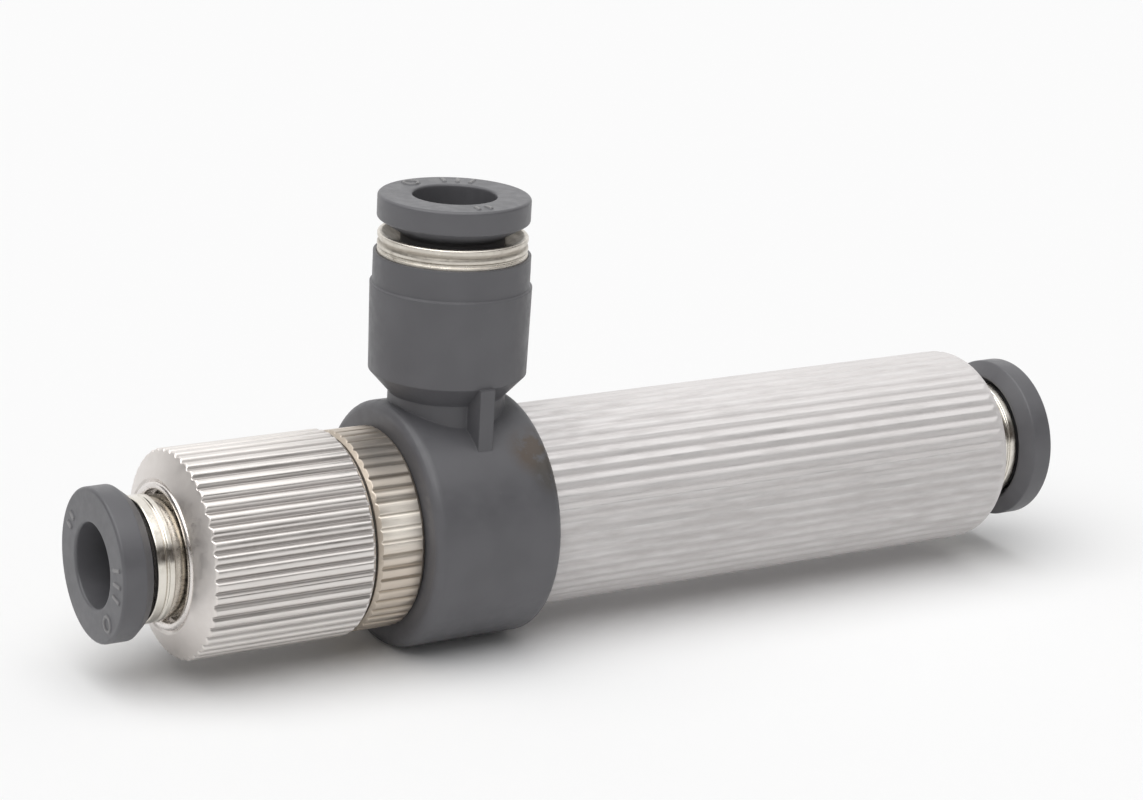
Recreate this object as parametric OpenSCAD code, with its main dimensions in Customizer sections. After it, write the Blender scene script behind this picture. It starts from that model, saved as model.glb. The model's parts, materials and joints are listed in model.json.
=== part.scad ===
// Inline vacuum ejector with push-in tube ports.
// Origin: centre of the supply port's outer face, where the tube goes in.
// +X runs along the main axis towards the exhaust, +Z up along the vacuum port.

/* [Tubes] */
// Outside diameter of the supply tube and the vacuum tube
small_tube_d = 6; // [5.6:0.1:6.2]
// Outside diameter of the exhaust tube
large_tube_d = 8; // [7.6:0.1:8.2]
// Radial room round a tube in its bores
tube_play = 0.1; // [0.05:0.01:0.2]

/* [Release rings] */
// Outside diameter of the supply and vacuum rings
small_ring_d = 11.3; // [11:0.1:11.8]
// Outside diameter of the exhaust ring
large_ring_d = 12.9; // [12.6:0.1:13.4]
// Thickness of a ring's straight edge
ring_edge_t = 1.75; // [1.6:0.05:1.8]
// Height of the cone behind the supply and exhaust rings' edges
ring_cone_h = 0.8; // [0.6:0.05:0.9]
// Height of the cone behind the vacuum ring's edge
vacuum_cone_h = 0.95; // [0.8:0.05:1]
// Bevel on the rim of a ring's face
ring_bevel = 0.15; // [0.05:0.05:0.3]
// How far a ring travels when it is pushed in
ring_travel = 0.8; // [0.5:0.05:0.85]
// Wall of the small rings' sleeves
small_sleeve_wall = 0.75; // [0.6:0.05:0.8]
// Wall of the exhaust ring's sleeve
large_sleeve_wall = 0.45; // [0.4:0.05:0.5]
// Radial room round a sleeve in its collar
sleeve_play = 0.08; // [0.04:0.01:0.1]
// Height of the bead that keeps a sleeve in its collar
bead_h = 0.15; // [0.1:0.01:0.2]
// Length of the bead
bead_len = 1; // [0.6:0.1:1.5]
// Bevel on the tip of a sleeve
sleeve_tip = 0.2; // [0.1:0.05:0.3]
// Depth of the pocket in the back of the supply and exhaust rings
pocket_depth = 1.1; // [0.95:0.05:1.2]
// Radial room between a pocket and the collar that it slides over
pocket_play = 0.2; // [0.1:0.05:0.25]
// Width of the rim round a pocket
pocket_rim = 0.15; // [0.1:0.05:0.25]

/* [Port cartridges] */
// Depth at which a collar's lip ends and the bead's room starts
lip_depth = 5.25; // [5:0.05:5.6]
// Depth at which a collar ends and its claw is clamped
grip_depth = 9; // [8.8:0.05:10]
// Sheet thickness of a claw
claw_t = 0.25; // [0.2:0.01:0.3]
// Number of fingers of a claw
claw_fingers = 8; // [6:1:10]
// Width of the slots between fingers
claw_slot = 0.5; // [0.3:0.05:0.7]
// How far a finger reaches inwards along the tube
finger_len = 1.35; // [1:0.05:1.5]
// How far the finger tips stand inside the tube's surface
claw_bite = 0.05; // [0.02:0.01:0.1]
// Length of a backing ring
backing_len = 2; // [1.8:0.05:2.4]
// Cord diameter of a tube seal
seal_cord = 1.5; // [1.3:0.05:1.6]
// How far a tube seal stands inside the tube's surface
seal_bite = 0.1; // [0.05:0.01:0.15]
// End room for a tube seal in its seat
seal_end_play = 0.2; // [0.1:0.05:0.3]
// Length of the plain socket that holds a tube's end
socket_len = 2.55; // [2:0.05:3]
// Diameter of the passage behind a small tube
small_passage_d = 4.2; // [3.6:0.1:4.6]
// Diameter of the passage behind the exhaust tube
large_passage_d = 7; // [6.6:0.1:7.4]
// Wall of the small cartridges' sleeve round the bead's room
small_cart_wall = 0.6; // [0.5:0.05:0.65]
// Wall of the exhaust cartridge's sleeve round the bead's room
large_cart_wall = 0.95; // [0.8:0.05:1]
// Wall of the supply collar's neck
small_neck_wall = 0.72; // [0.65:0.01:0.8]
// Wall of the exhaust collar's neck
large_neck_wall = 0.42; // [0.36:0.01:0.5]
// Length of the two polished bands at a collar's mouth
band_len = 1.4; // [1.2:0.05:1.5]
// Width of the groove between a collar's bands
band_groove_w = 0.14; // [0.1:0.01:0.2]
// Depth of the groove between a collar's bands
band_groove_depth = 0.12; // [0.08:0.01:0.14]
// How far a collar's neck is set in behind its bands
neck_inset = 0.2; // [0.1:0.01:0.22]
// Bevel on a collar's edges
collar_bevel = 0.1; // [0.05:0.01:0.12]

/* [Supply end] */
// From the supply ring's face to its collar
supply_collar_x = 3; // [2.8:0.05:3.4]
// From the supply ring's face to the nose of the front housing
supply_standoff = 5.1; // [4.8:0.1:5.4]
// Length of the recess round the collar in the nose
nose_recess = 1.1; // [0.8:0.1:1.3]
// Radial room between the collar's body and the nose's lip
nose_room = 0.2; // [0.1:0.05:0.3]
// Length of the nose's cone
nose_len = 1; // [0.7:0.05:1.3]

/* [Vacuum port] */
// Height of the vacuum ring's face above the main axis
vacuum_h = 24.85; // [24.6:0.05:25.4]
// From the vacuum ring's face to its collar
vacuum_collar_z = 2.85; // [2.8:0.05:3]
// Height of the collar's head
collar_head_h = 2.1; // [1.9:0.05:2.2]
// Diameter of the collar's head
collar_head_d = 11.12; // [11:0.02:11.2]
// How far the head stands out of the tee
collar_head_out = 1.5; // [1.3:0.05:1.6]
// Wall of the collar's rim at its mouth
collar_rim = 0.34; // [0.25:0.01:0.36]
// Height of the cone inside the collar's mouth
collar_cone_h = 0.95; // [0.9:0.05:1.2]
// Radial width of the ledge between the vacuum ring's cone and its sleeve
cone_ledge = 0.25; // [0.1:0.05:0.3]

/* [Tee] */
// Width of the tee's ring along the main axis
tee_w = 10.58; // [10.2:0.02:11]
// Outside diameter of the tee's ring
tee_ring_d = 18.6; // [18:0.1:19.4]
// Rounding of the ring's edges
tee_round = 0.8; // [0.4:0.1:1.2]
// Diameter of the branch at its foot
branch_foot_d = 11.76; // [11.7:0.02:12]
// Diameter of the branch at the step
branch_d = 12; // [11.9:0.02:12.2]
// Diameter of the branch above the step
branch_top_d = 11.64; // [11.6:0.02:11.8]
// From the branch's mouth down to the step
step_drop = 2.25; // [2:0.05:2.6]
// Height of the branch's foot above the main axis
branch_foot_h = 11.6; // [11.4:0.05:11.8]
// Height of the branch's cone
branch_cone_h = 1.65; // [1.4:0.05:1.8]
// Diameter of the tee's neck
neck_d = 8.74; // [8.6:0.02:9.2]
// Width of the web down the neck's front and back
web_w = 1.2; // [0.8:0.1:1.6]
// Height at which the webs end
web_end_h = 6.6; // [6:0.1:7]
// How far the webs reach from the branch's axis
web_reach = 6.15; // [5.9:0.05:6.3]

/* [Housings] */
// Diameter over the ribs of the housings
rib_d = 15.46; // [15.2:0.02:16]
// Diameter over the ribs of the core's knurled flange
knurl_d = 15.06; // [14.8:0.02:15.4]
// Number of ribs round a housing
rib_count = 48; // [40:1:56]
// Depth of the grooves between ribs
rib_depth = 0.32; // [0.2:0.01:0.4]
// Length of the front housing
front_len = 13.68; // [13.4:0.02:14.4]
// Length of the core's knurled flange
knurl_len = 3.79; // [3.4:0.01:4.4]
// Length of the rear housing
rear_len = 43.35; // [42.6:0.05:46]
// From the rear housing's end to the exhaust ring's face
exhaust_standoff = 5.15; // [4.9:0.05:5.4]
// From the exhaust ring's face to its collar
exhaust_collar_x = 2.5; // [2.4:0.05:2.8]
// Length of the rounded shoulder at the rear housing's end
shoulder_len = 1.6; // [1.2:0.1:2]
// Drop of the rounded shoulder
shoulder_drop = 1.1; // [0.8:0.05:1.2]
// Chamfer on the edges of ribbed parts
edge_chamfer = 0.3; // [0.15:0.05:0.4]
// Thickness of the gasket behind the front housing
gasket_t = 0.3; // [0.2:0.05:0.5]
// Inset of the gasket below the ribs
gasket_inset = 0.65; // [0.5:0.05:0.8]

/* [Core] */
// Diameter of the core's stem and of both its threads
stem_d = 11.2; // [11.1:0.02:11.4]
// Radial running room of the tee on the stem
swivel_play = 0.05; // [0.03:0.01:0.1]
// End play on each side of the tee
swivel_gap = 0.05; // [0.03:0.01:0.1]
// Width of the annular chamber round the stem
chamber_w = 4.6; // [4.2:0.1:4.8]
// Depth of the annular chamber in the stem
chamber_depth = 0.6; // [0.4:0.05:0.7]
// Diameter of the suction holes in the stem
suction_hole_d = 3; // [2.4:0.1:3.2]
// Number of suction holes
suction_holes = 4; // [2:1:5]
// Diameter of the suction bore inside the core
suction_bore_d = 7.2; // [7:0.05:7.4]
// How far the core's rear thread reaches past the tee
rear_thread_len = 7.9; // [7.4:0.1:8.6]
// Diameter of the nozzle's seat
nozzle_d = 5.6; // [5.4:0.05:5.8]
// Length of the nozzle's seat
nozzle_seat_len = 4.6; // [4.2:0.1:5]
// Cord diameter of the tee's seals
tee_seal_cord = 1.1; // [1:0.02:1.2]
// From a side of the tee to the middle of its seal
tee_seal_inset = 1.4; // [1.2:0.05:1.6]
// Cord diameter of the rear seal and the diffuser's seal
inner_seal_cord = 1; // [0.9:0.02:1.1]
// From the core's rear end to the middle of its seal
rear_seal_inset = 2; // [1.4:0.1:2.6]
// Cord diameter of the nozzle's seal
nozzle_seal_cord = 0.8; // [0.7:0.02:0.9]
// From the start of the nozzle's seat to the middle of its seal
nozzle_seal_inset = 1.55; // [1.2:0.05:2]
// Room left round fixed pieces where they seat
seat_gap = 0.02; // [0.01:0.005:0.04]

/* [Jet] */
// Diameter of the nozzle's throat
nozzle_throat_d = 1; // [0.7:0.1:1.3]
// Diameter at the nozzle's outlet
nozzle_outlet_d = 1.4; // [1.2:0.1:1.8]
// From the start of the suction bore to the vacuum port's axis
suction_lead = 4.6; // [4.4:0.1:5]
// Diameter of the nozzle's inlet
nozzle_inlet_d = 3; // [2.6:0.1:3.2]
// Length of the cone between the inlet and the throat
nozzle_cone_len = 2.5; // [2:0.1:2.8]
// Length of the nozzle's throat
nozzle_throat_len = 0.8; // [0.6:0.1:1]
// Length of the flare at the nozzle's outlet
nozzle_flare_len = 0.8; // [0.6:0.1:1]
// Diameter of the nozzle's head
nozzle_head_d = 6.6; // [6.2:0.1:6.8]
// Thickness of the nozzle's head
nozzle_head_t = 0.8; // [0.6:0.1:1]
// Length of the nozzle's tip past its seat
nozzle_tip_len = 3.3; // [3:0.1:3.6]
// Gap between the nozzle's tip and the diffuser
jet_gap = 2.6; // [2:0.1:2.8]
// Length of the diffuser
diffuser_len = 30.4; // [28:0.2:32]
// Length of the diffuser's bell inlet
bell_len = 3.6; // [3:0.1:4.2]
// Wall at the mouth of the bell
bell_wall = 0.6; // [0.45:0.05:0.9]
// Diameter of the diffuser's throat
diffuser_throat_d = 1.9; // [1.6:0.1:2.2]
// Length of the diffuser's throat
diffuser_throat_len = 5.4; // [4:0.2:7]
// Diameter at the diffuser's outlet
diffuser_outlet_d = 5; // [4.4:0.1:5.4]
// Diameter of the rear housing's chamber
rear_chamber_d = 10.4; // [10:0.1:10.8]
// Thickness of the diffuser's centring flange
diffuser_flange_t = 2; // [1.5:0.1:3]
// Thickness of the web between the chamber and the exhaust socket
rear_web = 1.5; // [1:0.1:2]

/* [Hidden] */
$fn = 96;

// A cut reaches this far past the face that it opens
past = 0.5;
// Room between the rest position of a bead and the lip that stops it
bead_rest = 0.05;
// Radial room round a bead behind its lip
bead_room = 0.3;
// Radial room between a sleeve's tip and the root of a claw's fingers
claw_room = 0.15;
// Radial room round the fingers in the mouth of a backing ring
finger_room = 0.4;
// Extra width of a seal's groove
groove_room = 0.2;
// Step between the points of a rounded edge, in degrees
arc_step = 15;
// One rib, with a flat crest and two-step flanks: [share of the pitch, share of the depth]
rib_profile = [[-0.42, 1], [-0.26, 0.38], [-0.11, 0], [0.11, 0], [0.26, 0.38], [0.42, 1]];

// Stations along the main axis
front_end_x = supply_standoff + front_len;
knurl_x = front_end_x + gasket_t;
knurl_end_x = knurl_x + knurl_len;
tee_x = knurl_end_x + swivel_gap;
tee_end_x = tee_x + tee_w;
vacuum_x = tee_x + tee_w / 2;
rear_x = tee_end_x + swivel_gap;
rear_end_x = rear_x + rear_len;
total_x = rear_end_x + exhaust_standoff;
core_end_x = rear_x + rear_thread_len;
suction_x = vacuum_x - suction_lead;
nozzle_x = suction_x - nozzle_seat_len;
nozzle_end_x = suction_x + nozzle_tip_len;
diffuser_x = nozzle_end_x + jet_gap;
diffuser_end_x = diffuser_x + diffuser_len;

// Stations down a port, from its release ring's face
bead_depth = lip_depth + bead_rest;
sleeve_len = grip_depth + bead_rest - ring_travel;
backing_depth = grip_depth + claw_t;
seat_depth = backing_depth + backing_len;
socket_depth = seat_depth + seal_cord + seal_end_play;
stop_depth = socket_depth + socket_len;
seal_depth = (seat_depth + socket_depth) / 2;
guard_depth = grip_depth + finger_len + 2 * claw_t;
tee_mouth_z = vacuum_h - vacuum_collar_z - collar_head_out;

// Radii of a port, worked out from its tube
function tube_r(big) = (big ? large_tube_d : small_tube_d) / 2;
function bore_r(big) = tube_r(big) + tube_play;
function sleeve_r(big) = bore_r(big) + (big ? large_sleeve_wall : small_sleeve_wall);
function lip_r(big) = sleeve_r(big) + sleeve_play;
function room_r(big) = sleeve_r(big) + bead_h + bead_room;
function cart_r(big) = room_r(big) + (big ? large_cart_wall : small_cart_wall);
function neck_r(big) = lip_r(big) + (big ? large_neck_wall : small_neck_wall);
function ring_r(big) = (big ? large_ring_d : small_ring_d) / 2;
function passage_r(big) = (big ? large_passage_d : small_passage_d) / 2;
function seal_r(big) = tube_r(big) - seal_bite + seal_cord / 2;
function seat_r(big) = seal_r(big) + seal_cord / 2 + seat_gap;
function root_r(big) = sleeve_r(big) + claw_room;

// Radii along the main axis
rib_r = rib_d / 2;
knurl_r = knurl_d / 2;
stem_r = stem_d / 2;
tee_bore_r = stem_r + swivel_play;
thread_r = stem_r + seat_gap;
suction_r = suction_bore_d / 2;
nozzle_r = nozzle_d / 2;
chamber_r = rear_chamber_d / 2;
nose_r = cart_r(false) + nose_room;

// Places of the seals along the main axis
nozzle_seal_x = nozzle_x + nozzle_seal_inset;
tee_seal_front_x = tee_x + tee_seal_inset;
tee_seal_rear_x = tee_end_x - tee_seal_inset;
rear_seal_x = core_end_x - rear_seal_inset;
diffuser_seal_x = (diffuser_x + core_end_x) / 2;

// Turns a port's depth axis, +Z, to where each port looks in
module at_supply() {
    rotate([0, 90, 0]) children();
}

module at_vacuum() {
    translate([vacuum_x, 0, vacuum_h]) rotate([180, 0, 0]) children();
}

module at_exhaust() {
    translate([total_x, 0, 0]) rotate([0, -90, 0]) children();
}

// Turns a [radius, x] outline about the main axis
module turned(points) {
    rotate([0, 90, 0]) rotate_extrude() polygon(points);
}

// A cylinder along the main axis from x0 to x1
module rod(r, x0, x1) {
    translate([x0, 0, 0]) rotate([0, 90, 0]) cylinder(h = x1 - x0, r = r);
}

// A cylinder along Z from z0 to z1
module post(r, z0, z1) {
    translate([0, 0, z0]) cylinder(h = z1 - z0, r = r);
}

// Outline of a ribbed bar: the rib profile, repeated round the bar
function rib_outline(r, pitch = 360 / rib_count) = [
    for (i = [0:rib_count - 1], corner = rib_profile)
        let (angle = (i + corner[0]) * pitch, reach = r - corner[1] * rib_depth)
            [reach * cos(angle), reach * sin(angle)]
];

// Ribs along the main axis, cut to a turned outline
module ribbed(r, x0, x1, points) {
    intersection() {
        translate([x0, 0, 0]) rotate([0, 90, 0]) linear_extrude(height = x1 - x0) polygon(rib_outline(r));
        turned(points);
    }
}

// An O-ring round Z
module o_ring(r, cord) {
    rotate_extrude() translate([r, 0]) circle(r = cord / 2);
}

// An O-ring in a groove that is open outwards, under a bore of radius r
module shaft_seal(x, r, cord) {
    color("dimgray") translate([x, 0, 0]) rotate([0, 90, 0]) o_ring(r - seat_gap - cord / 2, cord);
}

// The groove for that O-ring
module shaft_groove(x, r, cord, cut_r) {
    half_w = (cord + groove_room) / 2;
    difference() {
        rod(cut_r, x - half_w, x + half_w);
        rod(r - 2 * seat_gap - cord, x - half_w - past, x + half_w + past);
    }
}

// ---- Push-in cartridge, drawn down the depth axis from the ring's face ----

// Sleeve of a release ring below its flange, from the depth where it leaves the flange
function sleeve_outline(big, leave) = [
    [sleeve_r(big), leave],
    [sleeve_r(big), bead_depth],
    [sleeve_r(big) + bead_h, bead_depth],
    [sleeve_r(big) + bead_h, bead_depth + bead_len / 2],
    [sleeve_r(big), bead_depth + bead_len],
    [sleeve_r(big), sleeve_len - sleeve_tip],
    [sleeve_r(big) - sleeve_tip, sleeve_len],
    [bore_r(big), sleeve_len]
];

// Flange with a hollow back that slides over the neck of the collar
module pocket_ring(big) {
    pocket_r = neck_r(big) + pocket_play;
    back = ring_edge_t + ring_cone_h;
    color("dimgray") rotate_extrude() polygon(concat([
        [bore_r(big), 0],
        [ring_r(big) - ring_bevel, 0],
        [ring_r(big), ring_bevel],
        [ring_r(big), ring_edge_t],
        [pocket_r + pocket_rim, back],
        [pocket_r, back],
        [pocket_r, back - pocket_depth]
    ], sleeve_outline(big, back - pocket_depth)));
}

// Flange with a plain cone that sinks into the collar's mouth
module cone_ring() {
    cone_end = ring_edge_t + vacuum_cone_h;
    color("dimgray") rotate_extrude() polygon(concat([
        [bore_r(false), 0],
        [ring_r(false) - ring_bevel, 0],
        [ring_r(false), ring_bevel],
        [ring_r(false), ring_edge_t],
        [sleeve_r(false) + cone_ledge, cone_end]
    ], sleeve_outline(false, cone_end + cone_ledge)));
}

// The two polished bands at a collar's mouth, with the groove between them
function band_outline(r, mouth, end) =
    let (groove = (mouth + end) / 2 + band_groove_w)
    [
        [r - collar_bevel, mouth],
        [r, mouth + collar_bevel],
        [r, groove - band_groove_w],
        [r - band_groove_depth, groove - band_groove_w / 2],
        [r - band_groove_depth, groove + band_groove_w / 2],
        [r, groove + band_groove_w],
        [r, end]
    ];

// Collar with a slim neck, pressed into a metal housing
module neck_collar(big, mouth, body) {
    step_r = neck_r(big) - neck_inset;
    color("gainsboro") rotate_extrude() polygon(concat([
        [lip_r(big), mouth + collar_bevel],
        [lip_r(big) + collar_bevel, mouth]
    ], band_outline(neck_r(big), mouth, mouth + band_len), [
        [step_r, mouth + band_len],
        [step_r, body],
        [cart_r(big), body],
        [cart_r(big), grip_depth],
        [room_r(big), grip_depth],
        [room_r(big), lip_depth],
        [lip_r(big), lip_depth]
    ]));
}

// Collar with a wide head, pressed into the plastic tee
module head_collar() {
    head_r = collar_head_d / 2;
    head_end = vacuum_collar_z + collar_head_h;
    color("gainsboro") rotate_extrude() polygon(concat([
        [lip_r(false), vacuum_collar_z + collar_cone_h],
        [head_r - collar_rim, vacuum_collar_z]
    ], band_outline(head_r, vacuum_collar_z, head_end), [
        [cart_r(false), head_end],
        [cart_r(false), grip_depth],
        [room_r(false), grip_depth],
        [room_r(false), lip_depth],
        [lip_r(false), lip_depth]
    ]));
}

// Steel claw: a flat rim and fingers that lean in along the tube
module claw(big) {
    tip_r = tube_r(big) - claw_bite;
    drop = root_r(big) - tip_r;
    slant = norm([finger_len, drop]);
    out_r = claw_t * finger_len / slant;
    out_z = claw_t * drop / slant;
    bend_r = root_r(big) + out_r - drop * (claw_t - out_z) / finger_len;
    color("silver") difference() {
        rotate_extrude() polygon([
            [root_r(big), grip_depth],
            [cart_r(big), grip_depth],
            [cart_r(big), grip_depth + claw_t],
            [bend_r, grip_depth + claw_t],
            [tip_r + out_r, grip_depth + finger_len + out_z],
            [tip_r, grip_depth + finger_len]
        ]);
        for (i = [0:claw_fingers - 1])
            rotate([0, 0, (i + 0.5) * 360 / claw_fingers])
                translate([0, -claw_slot / 2, grip_depth - past])
                    cube([root_r(big), claw_slot, finger_len + 2 * past]);
    }
}

// Plastic ring that clamps the claw and guards the tube seal
module backing_ring(big) {
    color("lightgray") rotate_extrude() polygon([
        [root_r(big) + finger_room, backing_depth],
        [cart_r(big), backing_depth],
        [cart_r(big), seat_depth],
        [bore_r(big), seat_depth],
        [bore_r(big), guard_depth]
    ]);
}

module tube_seal(big) {
    color("dimgray") translate([0, 0, seal_depth]) o_ring(seal_r(big), seal_cord);
}

// The hollow of a port below its cartridge: seal seat, tube socket and passage
module socket_cut(big, from, passage_end) {
    post(cart_r(big) + seat_gap, from, seat_depth);
    post(seat_r(big), seat_depth - past, socket_depth);
    post(bore_r(big), socket_depth - past, stop_depth);
    post(passage_r(big), stop_depth - past, passage_end);
}

// ---- Pieces along the main axis ----

module front_housing() {
    nose_end = supply_standoff + nose_len;
    color("silver") difference() {
        ribbed(rib_r, supply_standoff, front_end_x, [
            [0, supply_standoff],
            [nose_r + edge_chamfer, supply_standoff],
            [rib_r - edge_chamfer / 2, nose_end],
            [rib_r, nose_end + edge_chamfer / 2],
            [rib_r, front_end_x - edge_chamfer],
            [rib_r - edge_chamfer, front_end_x],
            [0, front_end_x]
        ]);
        rod(nose_r, supply_standoff - past, supply_standoff + nose_recess);
        rod(cart_r(false) + seat_gap, supply_standoff, seat_depth + past);
        rod(thread_r, seat_depth, front_end_x + past);
    }
}

module front_gasket() {
    color("black") difference() {
        rod(rib_r - gasket_inset, front_end_x, knurl_x);
        rod(thread_r, front_end_x - past, knurl_x + past);
    }
}

// Nickel-plated core: front thread, knurled flange, stem for the tee, rear thread
module nozzle_core() {
    color("wheat") difference() {
        union() {
            rod(stem_r, seat_depth + seat_gap, core_end_x);
            ribbed(knurl_r, knurl_x, knurl_end_x, [
                [0, knurl_x],
                [knurl_r - edge_chamfer, knurl_x],
                [knurl_r, knurl_x + edge_chamfer],
                [knurl_r, knurl_end_x - edge_chamfer],
                [knurl_r - edge_chamfer, knurl_end_x],
                [0, knurl_end_x]
            ]);
        }
        at_supply() socket_cut(false, seat_depth, nozzle_x + past);
        rod(nozzle_r + seat_gap, nozzle_x, suction_x + past);
        rod(suction_r, suction_x, core_end_x + past);
        difference() {
            rod(stem_r + past, vacuum_x - chamber_w / 2, vacuum_x + chamber_w / 2);
            rod(stem_r - chamber_depth, tee_x, tee_end_x);
        }
        for (i = [0:suction_holes - 1])
            translate([vacuum_x, 0, 0]) rotate([i * 360 / suction_holes, 0, 0])
                cylinder(h = stem_r + past, d = suction_hole_d);
        shaft_groove(tee_seal_front_x, tee_bore_r, tee_seal_cord, stem_r + past);
        shaft_groove(tee_seal_rear_x, tee_bore_r, tee_seal_cord, stem_r + past);
        shaft_groove(rear_seal_x, thread_r, inner_seal_cord, stem_r + past);
    }
}

module nozzle() {
    tip_r = nozzle_outlet_d / 2;
    bore = nozzle_inlet_d / 2;
    throat = nozzle_throat_d / 2;
    head_end = suction_x + nozzle_head_t;
    flare_x = nozzle_end_x - nozzle_flare_len;
    throat_x = flare_x - nozzle_throat_len;
    color("goldenrod") difference() {
        turned([
            [bore, nozzle_x + seat_gap],
            [nozzle_r, nozzle_x + seat_gap],
            [nozzle_r, suction_x],
            [nozzle_head_d / 2, suction_x],
            [nozzle_head_d / 2, head_end],
            [nozzle_r - edge_chamfer, head_end],
            [tip_r + edge_chamfer, nozzle_end_x],
            [tip_r, nozzle_end_x],
            [throat, flare_x],
            [throat, throat_x],
            [bore, throat_x - nozzle_cone_len]
        ]);
        shaft_groove(nozzle_seal_x, nozzle_r + seat_gap, nozzle_seal_cord, nozzle_r + past);
    }
}

module diffuser() {
    outer = suction_r - seat_gap;
    throat = diffuser_throat_d / 2;
    outlet = diffuser_outlet_d / 2;
    flange_x = diffuser_end_x - diffuser_flange_t;
    color("goldenrod") difference() {
        turned([
            [outer - edge_chamfer, diffuser_x],
            [outer, diffuser_x + edge_chamfer],
            [outer, flange_x],
            [chamber_r - seat_gap, flange_x],
            [chamber_r - seat_gap, diffuser_end_x],
            [outlet, diffuser_end_x],
            [throat, diffuser_x + bell_len + diffuser_throat_len],
            [throat, diffuser_x + bell_len],
            [outer - bell_wall, diffuser_x]
        ]);
        shaft_groove(diffuser_seal_x, suction_r, inner_seal_cord, suction_r + past);
    }
}

module rear_housing() {
    chamber_end = total_x - stop_depth - rear_web;
    shoulder = [for (a = [0:arc_step:90]) [
        rib_r - shoulder_drop * (1 - cos(a)),
        rear_end_x - shoulder_len * (1 - sin(a))
    ]];
    color("silver") difference() {
        ribbed(rib_r, rear_x, rear_end_x, concat([
            [0, rear_x],
            [rib_r - edge_chamfer, rear_x],
            [rib_r, rear_x + edge_chamfer]
        ], shoulder, [[0, rear_end_x]]));
        rod(thread_r, rear_x - past, core_end_x + seat_gap);
        rod(chamber_r, core_end_x, diffuser_end_x);
        rod(chamber_r - edge_chamfer, diffuser_end_x - past, chamber_end);
        at_exhaust() socket_cut(true, exhaust_standoff - past, stop_depth + rear_web + past);
    }
}

// ---- Tee ----

// Corner of a turned outline, rounded from one face to the next
function round_corner(r, x, start, size) = [
    for (a = [start:arc_step:start + 90]) [r + size * cos(a), x + size * sin(a)]
];

module tee_ring() {
    ring_r = tee_ring_d / 2 - tee_round;
    turned(concat(
        [[0, tee_x]],
        round_corner(ring_r, tee_x + tee_round, -90, tee_round),
        round_corner(ring_r, tee_end_x - tee_round, 0, tee_round),
        [[0, tee_end_x]]
    ));
}

module tee_branch() {
    cone_end = branch_foot_h - branch_cone_h;
    step_z = tee_mouth_z - step_drop;
    rotate_extrude() polygon([
        [0, stem_r + past],
        [neck_d / 2, stem_r + past],
        [neck_d / 2, cone_end],
        [branch_foot_d / 2, branch_foot_h],
        [branch_d / 2, step_z - collar_bevel],
        [branch_top_d / 2, step_z],
        [branch_top_d / 2, tee_mouth_z],
        [0, tee_mouth_z]
    ]);
}

module tee_webs() {
    translate([-web_w / 2, -web_reach, web_end_h])
        cube([web_w, 2 * web_reach, branch_foot_h - web_end_h]);
}

module tee_body() {
    head_seat = vacuum_collar_z + collar_head_h;
    color([0.2, 0.2, 0.21]) difference() {
        union() {
            tee_ring();
            translate([vacuum_x, 0, 0]) {
                tee_branch();
                tee_webs();
            }
        }
        rod(tee_bore_r, tee_x - past, tee_end_x + past);
        at_vacuum() {
            post(collar_head_d / 2 + seat_gap, 0, head_seat);
            socket_cut(false, head_seat - past, vacuum_h - tee_bore_r + past);
        }
    }
}

front_housing();
front_gasket();
nozzle_core();
nozzle();
shaft_seal(nozzle_seal_x, nozzle_r + seat_gap, nozzle_seal_cord);  // nozzle_seal
tee_body();
shaft_seal(tee_seal_front_x, tee_bore_r, tee_seal_cord);  // tee_seal_front
shaft_seal(tee_seal_rear_x, tee_bore_r, tee_seal_cord);  // tee_seal_rear
diffuser();
shaft_seal(diffuser_seal_x, suction_r, inner_seal_cord);  // diffuser_seal
shaft_seal(rear_seal_x, thread_r, inner_seal_cord);  // rear_seal
rear_housing();
at_supply() pocket_ring(false);  // supply_release_ring
at_supply() neck_collar(false, supply_collar_x, supply_standoff + nose_recess);  // supply_collar
at_supply() claw(false);  // supply_claw
at_supply() backing_ring(false);  // supply_backing_ring
at_supply() tube_seal(false);  // supply_tube_seal
at_vacuum() cone_ring();  // vacuum_release_ring
at_vacuum() head_collar();  // vacuum_collar
at_vacuum() claw(false);  // vacuum_claw
at_vacuum() backing_ring(false);  // vacuum_backing_ring
at_vacuum() tube_seal(false);  // vacuum_tube_seal
at_exhaust() pocket_ring(true);  // exhaust_release_ring
at_exhaust() neck_collar(true, exhaust_collar_x, exhaust_standoff - collar_bevel);  // exhaust_collar
at_exhaust() claw(true);  // exhaust_claw
at_exhaust() backing_ring(true);  // exhaust_backing_ring
at_exhaust() tube_seal(true);  // exhaust_tube_seal
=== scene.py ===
"""Looks of the inline vacuum ejector: pieces with rounded edges, materials, light and camera.

Lengths are in metres unless a name or a comment says otherwise. The main axis is X, the vacuum port
points along +Z.
"""
import json
import math

import bmesh
import bpy
import numpy as np
from mathutils import Euler, Matrix, Vector

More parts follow.
